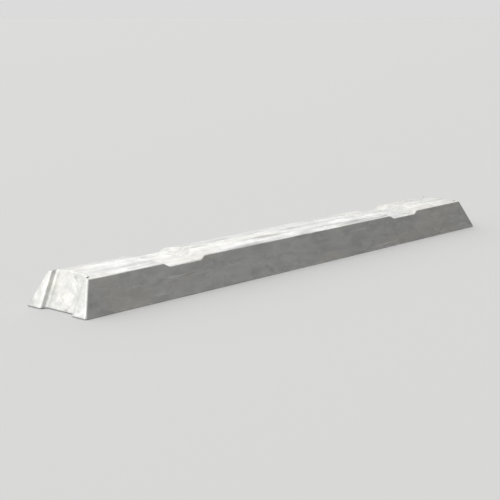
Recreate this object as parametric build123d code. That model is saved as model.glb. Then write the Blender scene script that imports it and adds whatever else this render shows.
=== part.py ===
from build123d import *
import math
import os

# One cast metal ingot, lying on its wide face with its narrow face up.
# Millimetres. X runs along the ingot, Y across it, Z up.
# The origin is the middle of the wide face's plane.
# The wide face was the open top of the mould and the narrow face its bottom,
# so every wall leans the way that lets the casting drop out.

# Overall casting
base_length = 560.0
base_width = 72.0
height = 30.5
flank_draft = 22.3          # degrees off upright, long sides
end_draft = 25.6            # degrees off upright, short ends

# Channel down the middle of each end, open at both faces
channel_depth = 5.5
channel_flare = 3.0         # degrees that each wall opens towards the mouth
ear_base_width = 17.7       # metal left beside the channel at the wide face
ear_top_width = 4.1         # and at the narrow face's seat

# The narrow face is crowned: it rises from both flanks to a flat seat in the middle
crown_drop = 2.3            # how much lower its long edges are than the seat
seat_half_width = 5.0

# Two shallow grooves across the narrow face
groove_inset = 120.0        # from the wide face's end to the groove's middle
groove_floor_width = 37.0
groove_depth = 5.1          # below the seat
groove_side_slope = 28.0    # degrees off the floor

# Shallow shrinkage dish in the wide face, inside a flat land
dish_side_land = 9.0        # flat strip left along each flank
dish_end_land = 12.0        # flat strip left between dish and channel
dish_depth = 1.2

# Rounding
corner_radius = 2.0         # upright corners of the ears
channel_root_radius = 2.0   # inner corners of the end channels
groove_lip_radius = 3.0
groove_root_radius = 4.0
mould_edge_radius = 1.5     # around the narrow face
rim_radius = 0.9            # around the wide face

overrun = 5.0               # how far a cutter runs past the face that it opens
near = 0.01                 # two heights closer than this are the same

# Worked out from the sizes above
flank_setback = height * math.tan(math.radians(flank_draft))
end_setback = height * math.tan(math.radians(end_draft))
top_length = base_length - 2 * end_setback
edge_half_width = base_width / 2 - flank_setback * (1 - crown_drop / height)
crown_radius = (edge_half_width**2 - seat_half_width**2) / (2 * crown_drop)
crown_top = height + seat_half_width**2 / (2 * crown_radius)
groove_x = base_length / 2 - groove_inset
groove_run = 1 / math.tan(math.radians(groove_side_slope))
corner_round = min(corner_radius, 0.45 * ear_top_width)
crown_round = min(mould_edge_radius, 0.4 * ear_top_width)


def tapered_body():
    """The plain four-sided casting, narrower at the top and crowned there."""
    above = height + overrun
    foot = Rectangle(base_length, base_width)
    crown = Plane.XY.offset(above) * Rectangle(
        base_length - 2 * end_setback * above / height,
        base_width - 2 * flank_setback * above / height,
    )
    return loft([foot, crown], ruled=True) & crown_barrel()


def crown_barrel():
    """The round bar whose upper side is the narrow face before its seat is cut flat."""
    barrel = Cylinder(crown_radius, 2 * base_length, rotation=(0, 90, 0))
    return Pos(0, 0, crown_top - crown_radius) * barrel


def seat_cutter():
    """Everything above the seat."""
    return Pos(0, 0, height + overrun / 2) * Box(2 * base_length, base_width, overrun)


def channel_outline(z):
    """Plan outline of the right-hand channel's cutter at one height."""
    rise = z / height
    end_x = base_length / 2 - rise * end_setback
    half_width = base_width / 2 - rise * flank_setback
    ear = ear_base_width + rise * (ear_top_width - ear_base_width)
    flare = math.tan(math.radians(channel_flare))
    inner = half_width - ear - channel_depth * flare
    outer = half_width - ear + overrun * flare
    return Plane.XY.offset(z) * make_face(Polyline(
        (end_x - channel_depth, -inner),
        (end_x + overrun, -outer),
        (end_x + overrun, outer),
        (end_x - channel_depth, inner),
        close=True,
    ))


def channel_cutter():
    """A straight-sided plug that opens one end channel through both faces."""
    return loft([channel_outline(-overrun), channel_outline(height + overrun)], ruled=True)


def groove_cutter():
    """A bar whose section is one cross groove, centred on X = 0."""
    floor_z = height - groove_depth
    floor_half = groove_floor_width / 2
    above_half = floor_half + (groove_depth + overrun) * groove_run
    section = Plane.XZ * make_face(Polyline(
        (-floor_half, floor_z),
        (floor_half, floor_z),
        (above_half, height + overrun),
        (-above_half, height + overrun),
        close=True,
    ))
    return extrude(section, amount=base_width, both=True)


def dish_cutter():
    """A long shallow lens: a slice of a cylinder with a ball's cap at each end."""
    half_width = base_width / 2 - dish_side_land
    ball_radius = (half_width**2 + dish_depth**2) / (2 * dish_depth)
    straight_half = base_length / 2 - channel_depth - dish_end_land - half_width
    slice_box = Pos(0, 0, dish_depth / 2) * Box(2 * straight_half, 2 * half_width, dish_depth)
    cylinder = Cylinder(ball_radius, 2 * straight_half, rotation=(0, 90, 0))
    lens = slice_box & Pos(0, 0, dish_depth - ball_radius) * cylinder
    half_arch = Plane.XZ * make_face([
        Line((0, 0), (half_width, 0)),
        RadiusArc((half_width, 0), (0, dish_depth), -ball_radius),
        Line((0, dish_depth), (0, 0)),
    ])
    cap = revolve(half_arch, Axis.Z)
    for side in (-1, 1):
        lens += Pos(side * straight_half, 0, 0) * cap
    return lens


def round_uprights(body):
    """Round the ears' outer corners, then the roots of the end channels."""
    root_x = (base_length + top_length) / 4 - channel_depth
    upright = body.edges().filter_by(lambda edge: edge.bounding_box().size.Z > 0.8 * height)
    ear_corners = upright.filter_by(lambda edge: abs(edge.center().X) > root_x + channel_depth / 2)
    body = fillet(ear_corners, corner_round)
    upright = body.edges().filter_by(lambda edge: edge.bounding_box().size.Z > 0.8 * height)
    roots = upright.filter_by(lambda edge: abs(edge.center().X) < root_x + channel_depth / 4)
    return fillet(roots, channel_root_radius)


def groove_edges(body, lowest, highest):
    """The edges that run right across the ingot, in or beside a groove, between two heights."""
    reach = groove_floor_width / 2 + groove_depth * groove_run + overrun
    across = body.edges().filter_by(lambda edge: edge.bounding_box().size.Y > edge_half_width)
    beside = across.filter_by(lambda edge: abs(abs(edge.center().X) - groove_x) < reach)
    return beside.filter_by(lambda edge: lowest < edge.center().Z < highest)


def round_grooves(body):
    """Round the roots and the lips of both cross grooves."""
    floor_z = height - groove_depth
    body = fillet(groove_edges(body, floor_z - near, floor_z + near), groove_root_radius)
    return fillet(groove_edges(body, height, crown_top + near), groove_lip_radius)


def crown_outline(body):
    """The edges where the narrow face and its grooves meet the walls."""
    lowest = height - groove_depth - near
    crown = body.faces().filter_by(lambda face: face.bounding_box().min.Z > lowest)
    every = [edge for face in crown for edge in face.edges()]
    return [edge for edge in every if sum(edge.is_same(other) for other in every) == 1]


def wide_face_outline(body):
    """The outer edge of the wide face."""
    return body.faces().sort_by(Axis.Z)[0].outer_wire().edges()


os.makedirs("parts", exist_ok=True)

ingot = tapered_body()
channel = channel_cutter()
ingot -= channel
ingot -= mirror(channel, about=Plane.YZ)
for side in (-1, 1):
    ingot -= Pos(side * groove_x, 0, 0) * groove_cutter()
ingot = round_uprights(ingot)
ingot = round_grooves(ingot)
ingot = fillet(crown_outline(ingot), crown_round)
ingot = fillet(wide_face_outline(ingot), rim_radius)
ingot -= dish_cutter()
ingot -= seat_cutter()

export_step(ingot, "parts/ingot.step")
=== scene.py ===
from itertools import accumulate
import math
import bpy
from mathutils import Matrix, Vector


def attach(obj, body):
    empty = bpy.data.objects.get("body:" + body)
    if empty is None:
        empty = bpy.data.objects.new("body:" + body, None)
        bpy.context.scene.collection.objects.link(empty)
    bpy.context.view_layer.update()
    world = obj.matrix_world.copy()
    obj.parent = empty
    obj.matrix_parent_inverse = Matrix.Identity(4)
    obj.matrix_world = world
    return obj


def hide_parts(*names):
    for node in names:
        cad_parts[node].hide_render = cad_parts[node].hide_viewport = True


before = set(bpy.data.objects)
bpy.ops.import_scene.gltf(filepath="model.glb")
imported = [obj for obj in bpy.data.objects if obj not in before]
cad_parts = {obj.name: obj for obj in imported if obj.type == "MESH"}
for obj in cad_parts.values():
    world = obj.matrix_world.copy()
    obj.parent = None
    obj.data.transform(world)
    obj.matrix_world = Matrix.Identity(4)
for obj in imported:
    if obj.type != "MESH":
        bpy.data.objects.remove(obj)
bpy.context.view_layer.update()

# One cast ingot, lying on its wide face. A Geometry Nodes tree bends a cube's net to the casting
# and cuts a shallow relief into it. The metal's patches, streaks and pits are shader nodes.

mm = 0.001


# A tree's sums are written as plain arithmetic on its sockets
class Field:
    def __init__(self, tree, socket):
        self.tree = tree
        self.socket = socket


def plug(value, socket):
    if isinstance(value, Field):
        value.tree.links.new(value.socket, socket)
    else:
        socket.default_value = value


def calc(operation, *values):
    tree = next(value.tree for value in values if isinstance(value, Field))
    node = tree.nodes.new("ShaderNodeMath")
    node.operation = operation
    for value, socket in zip(values, node.inputs):
        plug(value, socket)
    return Field(tree, node.outputs[0])


def arithmetic(operation, turned):      # turned: the plain number stands before the field
    def work(field, other):
        return calc(operation, other, field) if turned else calc(operation, field, other)
    return work


for sign, operation in (("add", "ADD"), ("sub", "SUBTRACT"), ("mul", "MULTIPLY"), ("truediv", "DIVIDE")):
    setattr(Field, f"__{sign}__", arithmetic(operation, turned=False))
    setattr(Field, f"__r{sign}__", arithmetic(operation, turned=True))


def sine(angle):
    return calc("SINE", angle)


def cosine(angle):
    return calc("COSINE", angle)


def unitRamp(value, low, high):     # 0 at low, 1 at high, held at both ends
    node = value.tree.nodes.new("ShaderNodeMapRange")
    for name, item in (("Value", value), ("From Min", low), ("From Max", high)):
        plug(item, node.inputs[name])
    return Field(value.tree, node.outputs["Result"])


def blend(low, high, share):
    return low + share * (high - low)


def throughPoints(value, points):   # straight pieces from each point to the next
    total = points[0][1]
    for (fromAt, fromValue), (toAt, toValue) in zip(points, points[1:]):
        total = total + unitRamp(value, fromAt, toAt) * (toValue - fromValue)
    return total


def splitVector(tree, socket):
    node = tree.nodes.new("ShaderNodeSeparateXYZ")
    tree.links.new(socket, node.inputs[0])
    return [Field(tree, output) for output in node.outputs]


def joinVector(tree, x, y, z):
    node = tree.nodes.new("ShaderNodeCombineXYZ")
    for value, socket in zip((x, y, z), node.inputs):
        plug(value, socket)
    return node.outputs[0]


def inSpans(tree, spot, span):      # turns a place into counts of spans along, across and up
    node = tree.nodes.new("ShaderNodeVectorMath")
    node.operation = "MULTIPLY"
    tree.links.new(spot, node.inputs[0])
    node.inputs[1].default_value = [1 / length for length in span]
    return node.outputs[0]


def cloud(tree, spot, layer, firstSeed=0.0):    # soft noise from 0 to 1, its contrast drawn out
    span, seed, detail, rough, twist, contrast = layer
    node = tree.nodes.new("ShaderNodeTexNoise")
    node.noise_dimensions = "4D"
    tree.links.new(inSpans(tree, spot, span), node.inputs["Vector"])
    plug(firstSeed + seed, node.inputs["W"])
    for name, value in (("Scale", 1.0), ("Detail", detail), ("Roughness", rough), ("Distortion", twist)):
        node.inputs[name].default_value = value
    return unitRamp(Field(tree, node.outputs[0]), *contrast)


def cells(tree, spot, span, seed):  # distance to the nearest scattered point, and that point's own number
    node = tree.nodes.new("ShaderNodeTexVoronoi")
    node.voronoi_dimensions = "4D"
    tree.links.new(inSpans(tree, spot, span), node.inputs["Vector"])
    plug(seed, node.inputs["W"])
    node.inputs["Scale"].default_value = 1.0
    number = splitVector(tree, node.outputs["Color"])[0]
    return Field(tree, node.outputs["Distance"]), number


def hollows(tree, spot, marks, firstSeed=0.0):  # round hollows, 1 at their middle, at some of the points
    near, number = cells(tree, spot, marks["span"], firstSeed + marks["seed"])
    return unitRamp(near, *marks["reach"]) * calc("GREATER_THAN", number, marks["rarity"])


def weighed(fields, weights):       # the fields of those names, times their weights, added up
    terms = [fields[name] * weight for name, weight in weights.items()]
    return sum(terms[1:], terms[0])


def stored(tree, geometry, name, value):    # keeps a number at each point, under a name
    node = tree.nodes.new("GeometryNodeStoreNamedAttribute")
    node.data_type, node.domain = "FLOAT", "POINT"
    node.inputs["Name"].default_value = name
    tree.links.new(geometry, node.inputs["Geometry"])
    plug(value, node.inputs["Value"])
    return node.outputs["Geometry"]


def recalled(tree, name):
    node = tree.nodes.new("GeometryNodeInputNamedAttribute")
    node.data_type = "FLOAT"
    node.inputs["Name"].default_value = name
    return Field(tree, node.outputs["Attribute"])


def moved(tree, geometry, name, vector):    # name: Position to place the points, Offset to shift them
    node = tree.nodes.new("GeometryNodeSetPosition")
    tree.links.new(geometry, node.inputs["Geometry"])
    tree.links.new(vector, node.inputs[name])
    return node.outputs["Geometry"]


# What can be set on the casting, in millimetres and degrees
ingotSetup = {
    # Inputs of the node tree
    "sizes": {
        "Base length": 560.0,
        "Base width": 72.0,
        "Height": 30.5,
        "Flank draft": 22.3,
        "End draft": 25.6,
        "Channel depth": 5.5,
        "Channel flare": 3.0,
        "Ear base width": 17.7,
        "Ear top width": 4.1,
        "Crown drop": 2.3,          # the narrow face's long edges lie this much lower than its middle
        "Seat half width": 5.0,     # and the middle is flat
        "Groove inset": 120.0,
        "Groove floor": 37.0,
        "Groove depth": 5.1,
        "Groove slope": 28.0,
        "Dish side land": 9.0,
        "Dish end land": 12.0,
        "Dish depth": 1.2,
        "Corner radius": 1.8,
        "Channel root radius": 2.0,
        "Edge radius": 1.5,         # around the narrow face
        "Rim radius": 0.9,
        "Waviness": 0.30,           # how deep the mould's own unevenness goes
        "Streaks": 0.16,            # long shallow flow marks
        "Dimples": 0.35,
        "Nicks": 0.55,              # knocks along the rounded edges
        "Ripples": 0.40,            # set waves in the wide face
        "Seed": 4.0,
    },
    # How softly surfaces meet: heights over which they blend
    "blends": {
        "seat": 0.05,
        "grooveLip": 0.40,
        "grooveRoot": 0.53,
        "dish": 0.08,               # as a share of the dish's depth
    },
    "wallLean": 24.0,               # of every wall where it is rounded, between the two drafts
    # Where the long edge takes the slope of the crown
    "crownStart": (-0.3, 0.5),      # comes in between these heights of the groove over that edge
    "crownEnd": (0.9, 1.0),         # goes out between these shares of the end's outline
    # Rows of the net on each part of the outline, from the middle out and from the foot up
    "rows": {
        "along": {"plain": 94, "nearRamp": 16, "grooveFloor": 22, "farRamp": 16, "tail": 36, "end": 24},
        "across": {"channelFloor": 12, "channelRoot": 4, "channelWall": 2, "channelMouth": 4, "ear": 10},
        "up": {"rim": 4, "wall": 19, "edge": 5},
    },
    # Where the rows are close together
    "spacing": {
        "lipMargin": 1.0,           # from this far outside a groove's lip
        "rootMargin": 1.2,          # to this far past its root
        "endReach": 44.0,           # the rows take up the end's outline over this length
        "endPower": 1.6,            # above 1, they crowd towards the end
        "earPower": 1.35,           # and towards the flank
        "outlinePower": 3.0,        # the higher, the later they take up the outline
    },
    # Where the finish finds edges and faces
    "wornRows": 2,                  # the worn band goes this many rows past a rounding
    "narrowFacing": (0.75, 0.95),   # upward part of the normal
    "wideFacing": (-0.75, -0.97),
    # Clouds of the relief: span along, across and up, seed, detail, roughness, twist, contrast
    "clouds": {
        "waviness": ((95, 38, 38), 0.0, 1.0, 0.5, 0.0, (0.25, 0.75)),
        "streaks": ((75, 8, 8), 3.0, 2.0, 0.5, 0.0, (0.30, 0.70)),
        "knocks": ((6, 6, 6), 7.0, 1.0, 0.5, 0.0, (0.56, 0.80)),
        "rippleBend": ((60, 60, 60), 9.0, 1.0, 0.5, 0.0, (0.0, 1.0)),
    },
    "dimples": {"span": (13, 13, 13), "seed": 5.0, "reach": (0.36, 0.08), "rarity": 0.80},
    "rippleRun": 2.0,               # millimetres along to one radian of a ripple
    "rippleTwist": 20.0,            # radians that the cloud bends it by
    "rippleBow": 260.0,             # square millimetres across to one radian
}


def startCastingTree():
    tree = bpy.data.node_groups.new("castingForm", "GeometryNodeTree")
    tree.is_modifier = True
    for name, value in ingotSetup["sizes"].items():
        socket = tree.interface.new_socket(name, in_out="INPUT", socket_type="NodeSocketFloat")
        socket.default_value = value
    tree.interface.new_socket("Finish", in_out="INPUT", socket_type="NodeSocketMaterial")
    tree.interface.new_socket("Geometry", in_out="OUTPUT", socket_type="NodeSocketGeometry")
    given = tree.nodes.new("NodeGroupInput")
    size = {name: Field(tree, given.outputs[name]) for name in ingotSetup["sizes"]}
    return tree, size, given.outputs["Finish"]


def rowEnds(side):                  # the row at which each part of the outline ends
    return list(accumulate(ingotSetup["rows"][side].values()))


def tangent(size, name):
    return calc("TANGENT", size[name] * math.radians(1))


def makeNet(tree, place):           # a cube from -1 to 1, and which row each of its points is on
    alongEnd, acrossEnd, upEnd = [rowEnds(side)[-1] for side in ("along", "across", "up")]
    cube = tree.nodes.new("GeometryNodeMeshCube")
    cube.inputs["Size"].default_value = (2, 2, 2)
    cube.inputs["Vertices X"].default_value = 2 * alongEnd + 1
    cube.inputs["Vertices Y"].default_value = 2 * acrossEnd + 1
    cube.inputs["Vertices Z"].default_value = upEnd + 1
    x, y, z = splitVector(tree, place)
    net = {
        "along": calc("ABSOLUTE", x) * float(alongEnd),
        "across": calc("ABSOLUTE", y) * float(acrossEnd),
        "up": (z + 1.0) * (upEnd / 2),
        "alongSign": calc("SIGN", x),
        "acrossSign": calc("SIGN", y),
    }
    return cube.outputs["Mesh"], net


# Where each row lies along the ingot before the end's outline moves it, and its share in that outline
def placeStations(size, net):
    spacing = ingotSetup["spacing"]
    plainRow, nearRampRow, floorRow, farRampRow, tailRow, endRow = rowEnds("along")
    grooveX = size["Base length"] / 2 - size["Groove inset"]
    slope = tangent(size, "Groove slope")
    rampRun = size["Groove depth"] / slope
    floorHalf = size["Groove floor"] / 2
    net["plainEnd"] = size["Base length"] / 2 - spacing["endReach"]
    net["station"] = throughPoints(net["along"], [
        (0, 0.0),
        (plainRow, grooveX - floorHalf - rampRun - spacing["lipMargin"]),
        (nearRampRow, grooveX - floorHalf + spacing["rootMargin"]),
        (floorRow, grooveX + floorHalf - spacing["rootMargin"]),
        (farRampRow, grooveX + floorHalf + rampRun + spacing["lipMargin"]),
        (tailRow, net["plainEnd"]),
    ])
    toGo = 1.0 - unitRamp(net["along"], tailRow, endRow)
    net["endShare"] = 1.0 - calc("POWER", toGo, spacing["endPower"])
    net["ramp"] = (calc("ABSOLUTE", net["station"] - grooveX) - floorHalf) * slope


# Plan of a row: flank, end, the channel in the end, and the ears' rounded corners
def planRow(size, net, flankZ, endZ, drawIn):
    spacing, across = ingotSetup["spacing"], net["across"]
    floorRow, rootRow, wallRow, mouthRow, earRow = rowEnds("across")
    root, corner, depth = size["Channel root radius"], size["Corner radius"], size["Channel depth"]
    flareOut = depth * tangent(size, "Channel flare")
    rootAngle = unitRamp(across, floorRow, rootRow) * (math.pi / 2)
    mouthAngle = unitRamp(across, wallRow, mouthRow) * (math.pi / 2)
    wallShare = unitRamp(across, rootRow, wallRow)
    earShare = 1.0 - calc("POWER", 1.0 - unitRamp(across, mouthRow, earRow), spacing["earPower"])

    halfWidth = size["Base width"] / 2 - flankZ * tangent(size, "Flank draft")
    endX = size["Base length"] / 2 - endZ * tangent(size, "End draft")
    earWidth = blend(size["Ear base width"], size["Ear top width"], flankZ / size["Height"])
    wallY = halfWidth - earWidth - flareOut
    hollow, outside = root + drawIn, corner - drawIn
    outlineY = (unitRamp(across, 0, floorRow) * (wallY - root) + hollow * sine(rootAngle)
                + wallShare * flareOut + outside * (1.0 - cosine(mouthAngle))
                + earShare * (halfWidth - drawIn - wallY - flareOut - corner))
    outlineX = (hollow * (1.0 - cosine(rootAngle)) + wallShare * (depth - root - corner)
                + outside * sine(mouthAngle) - depth - drawIn)

    # Rows are even along the middle of the ingot, and close in on the outline near its end
    evenY = throughPoints(across, [
        (0, 0.0), (floorRow, wallY - root), (rootRow, wallY), (earRow, halfWidth - drawIn)])
    rowY = blend(evenY, outlineY, calc("POWER", net["endShare"], spacing["outlinePower"]))
    rowX = net["station"] + net["endShare"] * (endX + outlineX - net["plainEnd"])

    # Round the ears' outer corners
    cornerX = calc("MINIMUM", calc("MAXIMUM", rowX - (endX - corner), 0.0) / outside, 1.0)
    cornerY = calc("MINIMUM", calc("MAXIMUM", rowY - (halfWidth - corner), 0.0) / outside, 1.0)
    pullX = outside * cornerX * (1.0 - calc("SQRT", 1.0 - cornerY * cornerY / 2))
    pullY = outside * cornerY * (1.0 - calc("SQRT", 1.0 - cornerX * cornerX / 2))
    return rowX - pullX, rowY - pullY, calc("MINIMUM", cornerX, cornerY)


# The point of the casting, without sign, that a point of the net goes to, and how far it is on a rounding
def shapeCasting(size, net):
    setup, blends, up = ingotSetup, ingotSetup["blends"], net["up"]
    rimRow, wallRow, edgeRow = rowEnds("up")

    # The cross groove's floor and ramps, and how low they take the narrow face's long edges
    softRamp = calc("SMOOTH_MAX", net["ramp"], 0.0, blends["grooveRoot"])
    grooveZ = size["Height"] - size["Groove depth"] + softRamp
    crownEdge = size["Height"] - size["Crown drop"]
    edgeZ = calc("SMOOTH_MIN", grooveZ, crownEdge, blends["grooveLip"])

    # The crowned face is an arc from edge to edge, cut flat in the middle
    seat = size["Seat half width"]
    crownHalf = size["Base width"] / 2 - crownEdge * tangent(size, "Flank draft")
    bend = (crownHalf * crownHalf - seat * seat) / (2.0 * size["Crown drop"])
    crownTop = size["Height"] + seat * seat / (2.0 * bend)

    # A row's angle on the rounded rim and edge, and how far that draws it in
    lean = math.radians(setup["wallLean"])
    onCrown = unitRamp(grooveZ - crownEdge, *setup["crownStart"])
    fall = crownHalf / bend * onCrown * (1.0 - unitRamp(net["endShare"], *setup["crownEnd"]))
    rimAngle = blend(-math.pi / 2, lean, unitRamp(up, 0, rimRow))
    edgeAngle = blend(lean, math.pi / 2 - fall, unitRamp(up, wallRow, edgeRow))
    rimRound, edgeRound = size["Rim radius"], size["Edge radius"]
    rimIn = rimRound * (1.0 - cosine(rimAngle - lean)) / math.cos(lean)
    edgeIn = edgeRound * (1.0 - cosine(edgeAngle - lean)) / math.cos(lean)
    topIn = edgeRound * (1.0 - cosine(math.pi / 2 - fall - lean)) / math.cos(lean)

    # Height of the narrow face above each point of its own plan, then of each row below it
    topY = planRow(size, net, edgeZ, edgeZ, topIn)[1]
    arcZ = crownTop - bend + calc("SQRT", bend * bend - topY * topY)
    seatZ = calc("SMOOTH_MIN", arcZ, size["Height"], blends["seat"])
    topZ = calc("SMOOTH_MIN", seatZ, grooveZ, blends["grooveLip"])
    rimZ = rimRound * (1.0 + sine(rimAngle))
    rowZ = blend(rimZ, topZ - edgeRound * (cosine(fall) - sine(edgeAngle)), unitRamp(up, rimRow, wallRow))
    rowX, rowY, cornerTurn = planRow(size, net, calc("MINIMUM", rowZ, edgeZ), rowZ, rimIn + edgeIn)

    # Shallow shrinkage dish, in the wide face only, which is row 0
    dishHalf = size["Base width"] / 2 - size["Dish side land"]
    dishStraight = size["Base length"] / 2 - size["Channel depth"] - size["Dish end land"] - dishHalf
    beyond = calc("MAXIMUM", rowX - dishStraight, 0.0)
    dishShare = 1.0 - (beyond * beyond + rowY * rowY) / (dishHalf * dishHalf)
    softShare = calc("SMOOTH_MAX", dishShare, 0.0, blends["dish"])
    dishLift = size["Dish depth"] * softShare * calc("LESS_THAN", up, 0.5)

    rimTurn = 1.0 - unitRamp(up, 0, rimRow + setup["wornRows"])
    edgeTurn = unitRamp(up, wallRow - setup["wornRows"], edgeRow)
    turn = calc("MAXIMUM", calc("MAXIMUM", rimTurn, edgeTurn), cornerTurn)
    return rowX, rowY, rowZ + dishLift, turn


# Relief of an open-mould casting, always cut inwards
def cutRelief(tree, size, place, normal):
    setup, seed = ingotSetup, size["Seed"]
    spot = inSpans(tree, place, (mm, mm, mm))
    edge, wideFace = recalled(tree, "edgeTurn"), recalled(tree, "wideFace")
    clouds = {name: cloud(tree, spot, layer, seed) for name, layer in setup["clouds"].items()}
    x, y, z = splitVector(tree, spot)
    wave = x / setup["rippleRun"] + clouds["rippleBend"] * setup["rippleTwist"] + y * y / setup["rippleBow"]
    ripples = 0.5 + 0.5 * sine(wave)
    taken = (size["Waviness"] * clouds["waviness"] + size["Streaks"] * clouds["streaks"]
             + size["Dimples"] * hollows(tree, spot, setup["dimples"], seed)
             + size["Nicks"] * clouds["knocks"] * edge * edge
             + size["Ripples"] * ripples * wideFace * calc("MINIMUM", z, 1.0))
    inward = tree.nodes.new("ShaderNodeVectorMath")
    inward.operation = "SCALE"
    tree.links.new(normal, inward.inputs[0])
    plug(taken * -mm, inward.inputs["Scale"])
    return inward.outputs[0]


def buildCastingTree():
    tree, size, finishGiven = startCastingTree()
    place = tree.nodes.new("GeometryNodeInputPosition").outputs[0]
    normal = tree.nodes.new("GeometryNodeInputNormal").outputs[0]
    form, net = makeNet(tree, place)
    placeStations(size, net)
    x, y, z, turn = shapeCasting(size, net)
    shaped = joinVector(tree, x * net["alongSign"] * mm, y * net["acrossSign"] * mm, z * mm)
    form = moved(tree, form, "Position", shaped)

    # Edges and faces, for the relief and for the finish
    facing = splitVector(tree, normal)[2]
    form = stored(tree, form, "edgeTurn", turn)
    form = stored(tree, form, "narrowFace", unitRamp(facing, *ingotSetup["narrowFacing"]))
    form = stored(tree, form, "wideFace", unitRamp(facing, *ingotSetup["wideFacing"]))
    form = moved(tree, form, "Offset", cutRelief(tree, size, place, normal))

    smooth = tree.nodes.new("GeometryNodeSetShadeSmooth")
    tree.links.new(form, smooth.inputs["Geometry"])
    real = tree.nodes.new("GeometryNodeRealizeInstances")
    tree.links.new(smooth.outputs[0], real.inputs[0])
    finish = tree.nodes.new("GeometryNodeSetMaterial")
    tree.links.new(real.outputs[0], finish.inputs["Geometry"])
    tree.links.new(finishGiven, finish.inputs["Material"])
    result = tree.nodes.new("NodeGroupOutput")
    tree.links.new(finish.outputs[0], result.inputs["Geometry"])
    return tree


# Look of the cast metal
tinLook = {
    "bright": (0.84, 0.84, 0.825, 1),
    "dull": (0.54, 0.54, 0.525, 1),
    "straw": (0.80, 0.75, 0.61, 1),     # thin film of oxide
    "smudge": (0.26, 0.26, 0.25, 1),
    "smooth": 0.26,
    "rough": 0.52,
    "grainDepth": 0.00012,
    "lapDepth": 0.00014,
    "pitDepth": 0.00035,
    # Clouds: span along, across and up in millimetres, seed, detail, roughness, twist, contrast
    "clouds": {
        "patches": ((48, 22, 22), 1.0, 3.0, 0.55, 0.6, (0.40, 0.62)),
        "blotches": ((20, 9, 9), 1.5, 4.0, 0.6, 0.8, (0.38, 0.62)),
        "streaks": ((60, 5, 5), 2.0, 3.0, 0.6, 0.0, (0.42, 0.64)),
        "mottle": ((7, 4.5, 4.5), 3.0, 4.0, 0.65, 0.0, (0.36, 0.66)),
        "grain": ((1 / 2.2, 1 / 2.2, 1 / 2.2), 4.0, 3.0, 0.6, 0.0, (0.0, 1.0)),
        "film": ((90, 30, 30), 5.0, 2.0, 0.5, 0.0, (0.50, 0.72)),
        "stains": ((70, 6, 6), 5.5, 3.0, 0.6, 0.4, (0.52, 0.66)),
        "lapRun": ((95, 45, 7), 6.0, 2.0, 0.45, 0.3, (0.0, 1.0)),
        "lapShown": ((34, 20, 12), 6.5, 1.0, 0.5, 0.0, (0.50, 0.68)),
        "pitShown": ((30, 18, 18), 8.0, 2.0, 0.5, 0.0, (0.48, 0.62)),
        "smudges": ((18, 9, 9), 9.0, 4.0, 0.65, 0.5, (0.60, 0.74)),
    },
    "crystals": {"span": (8, 5, 5), "seed": 5.8},
    "pits": {"span": (2.6, 2.6, 2.6), "seed": 7.0, "reach": (0.26, 0.10), "rarity": 0.72},
    "lapEdge": (0.004, 0.020),          # from its cloud's middle value, where a lap is full and is gone
    # Share of each pattern in the steps of the colour
    "clouded": {"patches": 0.65, "streaks": 0.35},
    "dulled": {"blotches": 0.60, "mottle": 0.35, "crystals": 0.30},
    "filmed": {"film": 0.35, "wideFace": 0.15},
    "dirtied": {"smudges": 0.45, "pits": 0.60, "laps": 0.30, "stains": 0.42},
    "dirtLimit": 0.8,
    "edgeWear": 0.5,
    # In the way from smooth to rough, and what is then added to the roughness
    "roughened": {"patches": 0.50, "mottle": 0.25, "streaks": 0.25},
    "matted": {"pits": 0.15, "stains": 0.12, "crystals": 0.10, "edgeTurn": -0.06, "narrowFace": -0.07},
    # In the height of the fine bumps
    "grained": {"grain": 0.60, "mottle": 0.80},
}


def mixed(tree, share, low, high):      # colours or sockets of colours
    node = tree.nodes.new("ShaderNodeMix")
    node.data_type = "RGBA"
    plug(share, node.inputs["Factor"])
    for name, value in (("A", low), ("B", high)):
        socket = [item for item in node.inputs if item.name == name and item.type == "RGBA"][0]
        if isinstance(value, tuple):
            socket.default_value = value
        else:
            tree.links.new(value, socket)
    return [item for item in node.outputs if item.type == "RGBA"][0]


def bumped(tree, height, depth, below=None):
    node = tree.nodes.new("ShaderNodeBump")
    node.inputs["Distance"].default_value = depth
    plug(height, node.inputs["Height"])
    if below:
        tree.links.new(below, node.inputs["Normal"])
    return node.outputs[0]


def painted(tree, name):
    node = tree.nodes.new("ShaderNodeAttribute")
    node.attribute_name = name
    return Field(tree, node.outputs["Fac"])


def makePatterns(tree, spot):
    look = tinLook
    pattern = {name: painted(tree, name) for name in ("edgeTurn", "narrowFace", "wideFace")}
    for name, layer in look["clouds"].items():
        pattern[name] = cloud(tree, spot, layer)

    # Stains drawn out along the narrow face, and the crystals of the wide face that set last
    pattern["stains"] = pattern["stains"] * pattern["narrowFace"]
    crystals = cells(tree, spot, look["crystals"]["span"], look["crystals"]["seed"])[1]
    pattern["crystals"] = crystals * pattern["wideFace"]

    # Thin laps where the metal set as it ran, and pits in clusters
    offMiddle = calc("ABSOLUTE", pattern["lapRun"] - 0.5)
    pattern["laps"] = (1.0 - unitRamp(offMiddle, *look["lapEdge"])) * pattern["lapShown"]
    pattern["pits"] = hollows(tree, spot, look["pits"]) * pattern["pitShown"]
    return pattern


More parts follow.
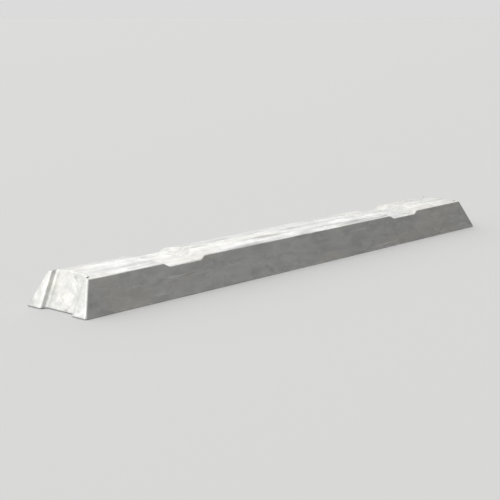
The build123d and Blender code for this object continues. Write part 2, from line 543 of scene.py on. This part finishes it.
def makeCastTin():
    finish = bpy.data.materials.new("castTin")
    finish.use_nodes = True
    tree, look = finish.node_tree, tinLook
    shader = tree.nodes["Principled BSDF"]
    shader.inputs["Metallic"].default_value = 1.0
    origin = tree.nodes.new("ShaderNodeTexCoord")
    pattern = makePatterns(tree, inSpans(tree, origin.outputs["Object"], (mm, mm, mm)))

    patches, streaks = [pattern[name] * share for name, share in look["clouded"].items()]
    worn = pattern["edgeTurn"] * pattern["edgeTurn"] * look["edgeWear"]
    dirt = calc("MINIMUM", weighed(pattern, look["dirtied"]), look["dirtLimit"])
    color = mixed(tree, blend(patches, 1.0, streaks), look["bright"], look["dull"])
    color = mixed(tree, weighed(pattern, look["dulled"]), color, look["dull"])
    color = mixed(tree, weighed(pattern, look["filmed"]), color, look["straw"])
    color = mixed(tree, dirt, color, look["smudge"])
    color = mixed(tree, worn, color, look["bright"])
    tree.links.new(color, shader.inputs["Base Color"])

    sheen = blend(look["smooth"], look["rough"], weighed(pattern, look["roughened"]))
    plug(sheen + weighed(pattern, look["matted"]), shader.inputs["Roughness"])
    surface = bumped(tree, weighed(pattern, look["grained"]), look["grainDepth"])
    surface = bumped(tree, 1.0 - pattern["laps"], look["lapDepth"], surface)
    surface = bumped(tree, 1.0 - pattern["pits"], look["pitDepth"], surface)
    tree.links.new(surface, shader.inputs["Normal"])
    return finish


def makeIngot(finish):
    source = bpy.data.objects.new("castingSource", bpy.data.meshes.new("castingSource"))
    bpy.context.scene.collection.objects.link(source)
    form = source.modifiers.new("castingForm", "NODES")
    form.node_group = buildCastingTree()
    for item in form.node_group.interface.items_tree:
        if item.in_out == "INPUT":
            form[item.identifier] = finish if item.name == "Finish" else ingotSetup["sizes"][item.name]
    evaluated = source.evaluated_get(bpy.context.evaluated_depsgraph_get())
    mesh = bpy.data.meshes.new_from_object(evaluated)
    source.modifiers.remove(form)
    bpy.data.objects.remove(source)
    ingot = bpy.data.objects.new("castIngot", mesh)
    bpy.context.scene.collection.objects.link(ingot)
    return ingot


castTin = makeCastTin()
print("cast tin:", len(castTin.node_tree.nodes), "nodes")
ingot = makeIngot(castTin)
print("ingot:", len(ingot.data.vertices), "points,", len(ingot.data.polygons), "faces")
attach(ingot, "root")
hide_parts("ingot")


# Floor, light and camera, in metres
studioSetup = {
    "floorColor": (0.55, 0.55, 0.545, 1),
    "floorRoughness": 0.9,
    "floorHalf": 40.0,
    "backdrop": 0.708,          # brightness that the camera sees beyond the floor
    "dimSky": 0.28,             # light from the front right
    "brightSky": 1.50,          # and from the other sides
    "skyTurn": 51.0,            # degrees from the back, towards the left, of the middle of the bright side
    "skyBlend": (-0.85, -0.15), # cosines off that middle between which dim turns to bright
    "lowSky": 0.22,             # share of the light that is left at the horizon
    "lowSkyTop": 0.22,          # sine of the height at which it reaches its full strength
    "highSky": 0.50,            # share of the light that is left straight overhead
    "highSkyFoot": 0.60,        # sine of the height at which it starts to fade
    "sunStrength": 0.8,
    "sunDirection": (-0.45, 0.35, 0.95),
    "sunSoftness": 40.0,
    "cameraPlace": (-0.872, -0.728, 0.230),
    "cameraAim": (0.015, 0.058, 0.0),
    "lens": 88.0,
    "sensor": 36.0,
    "clip": (0.01, 100.0),
}


def makeFloor():
    half = studioSetup["floorHalf"]
    corners = [(-half, -half, 0), (half, -half, 0), (half, half, 0), (-half, half, 0)]
    mesh = bpy.data.meshes.new("studioFloor")
    mesh.from_pydata(corners, [], [(0, 1, 2, 3)])
    floor = bpy.data.objects.new("studioFloor", mesh)
    bpy.context.scene.collection.objects.link(floor)
    paint = bpy.data.materials.new("paleFloor")
    paint.use_nodes = True
    shader = paint.node_tree.nodes["Principled BSDF"]
    shader.inputs["Base Color"].default_value = studioSetup["floorColor"]
    shader.inputs["Roughness"].default_value = studioSetup["floorRoughness"]
    mesh.materials.append(paint)


def makeSky():
    world = bpy.data.worlds.new("studioSky")
    world.use_nodes = True
    tree, look = world.node_tree, studioSetup
    direction = tree.nodes.new("ShaderNodeTexCoord")
    x, y, z = splitVector(tree, direction.outputs["Generated"])
    turn = math.radians(look["skyTurn"])
    towardsBright = y * math.cos(turn) - x * math.sin(turn)
    brightness = blend(look["dimSky"], look["brightSky"], unitRamp(towardsBright, *look["skyBlend"]))
    brightness = brightness * blend(look["lowSky"], 1.0, unitRamp(z, 0.0, look["lowSkyTop"]))
    brightness = brightness * blend(1.0, look["highSky"], unitRamp(z, look["highSkyFoot"], 1.0))

    # The camera itself sees a plain backdrop in place of this sky
    sky, backdrop = tree.nodes["Background"], tree.nodes.new("ShaderNodeBackground")
    for node, strength in ((sky, brightness), (backdrop, look["backdrop"])):
        node.inputs["Color"].default_value = (1, 1, 1, 1)
        plug(strength, node.inputs["Strength"])
    seen = tree.nodes.new("ShaderNodeLightPath")
    either = tree.nodes.new("ShaderNodeMixShader")
    tree.links.new(seen.outputs["Is Camera Ray"], either.inputs[0])
    tree.links.new(sky.outputs[0], either.inputs[1])
    tree.links.new(backdrop.outputs[0], either.inputs[2])
    tree.links.new(either.outputs[0], tree.nodes["World Output"].inputs["Surface"])
    bpy.context.scene.world = world


def makeSun():
    lamp = bpy.data.lights.new("softSun", "SUN")
    lamp.energy = studioSetup["sunStrength"]
    lamp.angle = math.radians(studioSetup["sunSoftness"])
    sun = bpy.data.objects.new("softSun", lamp)
    sun.rotation_euler = Vector(studioSetup["sunDirection"]).to_track_quat("Z", "Y").to_euler()
    bpy.context.scene.collection.objects.link(sun)


def makeCamera():
    lens = bpy.data.cameras.new("studioCamera")
    lens.lens, lens.sensor_width = studioSetup["lens"], studioSetup["sensor"]
    lens.clip_start, lens.clip_end = studioSetup["clip"]
    camera = bpy.data.objects.new("studioCamera", lens)
    camera.location = studioSetup["cameraPlace"]
    sight = Vector(studioSetup["cameraAim"]) - camera.location
    camera.rotation_euler = sight.to_track_quat("-Z", "Y").to_euler()
    bpy.context.scene.collection.objects.link(camera)
    bpy.context.scene.camera = camera


makeFloor()
makeSky()
makeSun()
makeCamera()
bpy.context.scene.view_settings.view_transform = "Standard"
print("studio: floor, sky, sun and camera are in place")
